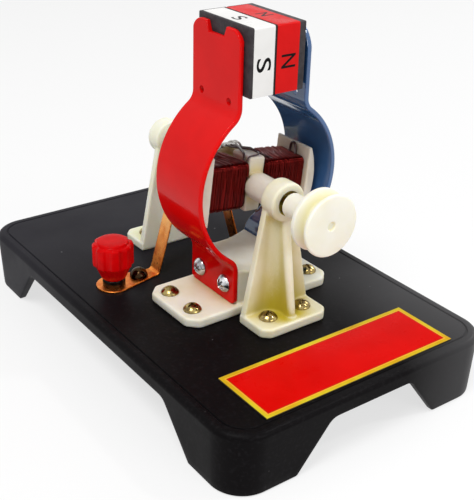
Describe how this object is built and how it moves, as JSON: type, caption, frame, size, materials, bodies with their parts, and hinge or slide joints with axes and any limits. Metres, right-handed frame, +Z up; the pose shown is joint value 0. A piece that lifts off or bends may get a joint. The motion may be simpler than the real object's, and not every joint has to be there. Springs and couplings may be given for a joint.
{
  "type": "demonstration electric motor",
  "caption": "Open classroom motor: black tray, painted pole arms under a magnet block, wound rotor on nylon stands, belt pulley, copper brushes and lobed terminal knobs.",
  "frame": {"origin": "centre of the tray's footprint, on the surface it stands on", "axes": "+Z up, +Y along the shaft away from the pulley, +X to the right seen from the pulley end"},
  "size_m": [0.0922, 0.1448, 0.1039],
  "materials": {
    "tray_plastic": "fine moulded grain, satin black",
    "plate_film": "printed film, red with a yellow border",
    "nylon": "natural moulded nylon, satin",
    "red_paint": "gloss red paint on steel strip",
    "blue_paint": "gloss dark blue paint on steel strip",
    "ferrite": "sintered ferrite, dull black",
    "steel": "ground",
    "dark_steel": "blackened",
    "enamelled_wire": "enamelled copper wire, dark red",
    "copper": "bright copper strip, slightly tarnished",
    "brass": "yellow passivated",
    "zinc": "bright zinc plate",
    "red_knob": "moulded, gloss",
    "black_knob": "moulded, gloss"
  },
  "bodies": {
    "root": {"base": "tray_plastic", "label_plate": "plate_film", "pole_saddle": "nylon", "pole_arm_red": "red_paint", "pole_arm_blue": "blue_paint", "front_stand": "nylon", "rear_stand": "nylon", "brush_right": "copper", "brush_left": "copper", "terminal_washers": "dark_steel", "terminal_studs": "brass", "saddle_screws": "brass", "front_stand_screws": "brass", "rear_stand_screws": "brass", "arm_screws_blue": "zinc", "arm_screws_red": "zinc", "brush_screws": "brass", "saddle_nuts": "brass", "stand_nuts": "brass"},
    "rotor": {"shaft": "steel", "pulley": "nylon", "rotor_frame": "nylon", "rotor_core": "steel", "coil_left": "enamelled_wire", "coil_right": "enamelled_wire", "commutator_core": "nylon", "commutator_segment_a": "copper", "commutator_segment_b": "copper"},
    "magnet": {"magnet_south": "ferrite", "magnet_north": "ferrite"},
    "insert_red": {"knob_insert_red": "brass"},
    "knob_red": {"terminal_knob_red": "red_knob"},
    "insert_black": {"knob_insert_black": "brass"},
    "knob_black": {"terminal_knob_black": "black_knob"}
  },
  "joints": [
    {"name": "rotor_spin", "type": "hinge", "parent": "root", "child": "rotor", "pos_m": [0, 0, 0.0564], "axis": [0, 1, 0], "continuous": true},
    {"name": "magnet_lift", "type": "slide", "parent": "root", "child": "magnet", "axis": [0, 0, 1], "range_m": [0, 0.03]},
    {"name": "knob_red_rise", "type": "slide", "parent": "root", "child": "insert_red", "axis": [0, 0, 1], "range_m": [0, 0.002]},
    {"name": "knob_red_turn", "type": "hinge", "parent": "insert_red", "child": "knob_red", "pos_m": [-0.0306, 0.012, 0.0222], "axis": [0, 0, 1], "range_deg": [0, 1442]},
    {"name": "knob_black_rise", "type": "slide", "parent": "root", "child": "insert_black", "axis": [0, 0, 1], "range_m": [0, 0.002]},
    {"name": "knob_black_turn", "type": "hinge", "parent": "insert_black", "child": "knob_black", "pos_m": [0.0306, 0.012, 0.0222], "axis": [0, 0, 1], "range_deg": [0, 1442]}
  ],
  "couplings": [
    {"joint": "knob_red_turn", "follows": "knob_red_rise", "rad_per_m": 12566},
    {"joint": "knob_black_turn", "follows": "knob_black_rise", "rad_per_m": 12566}
  ]
}
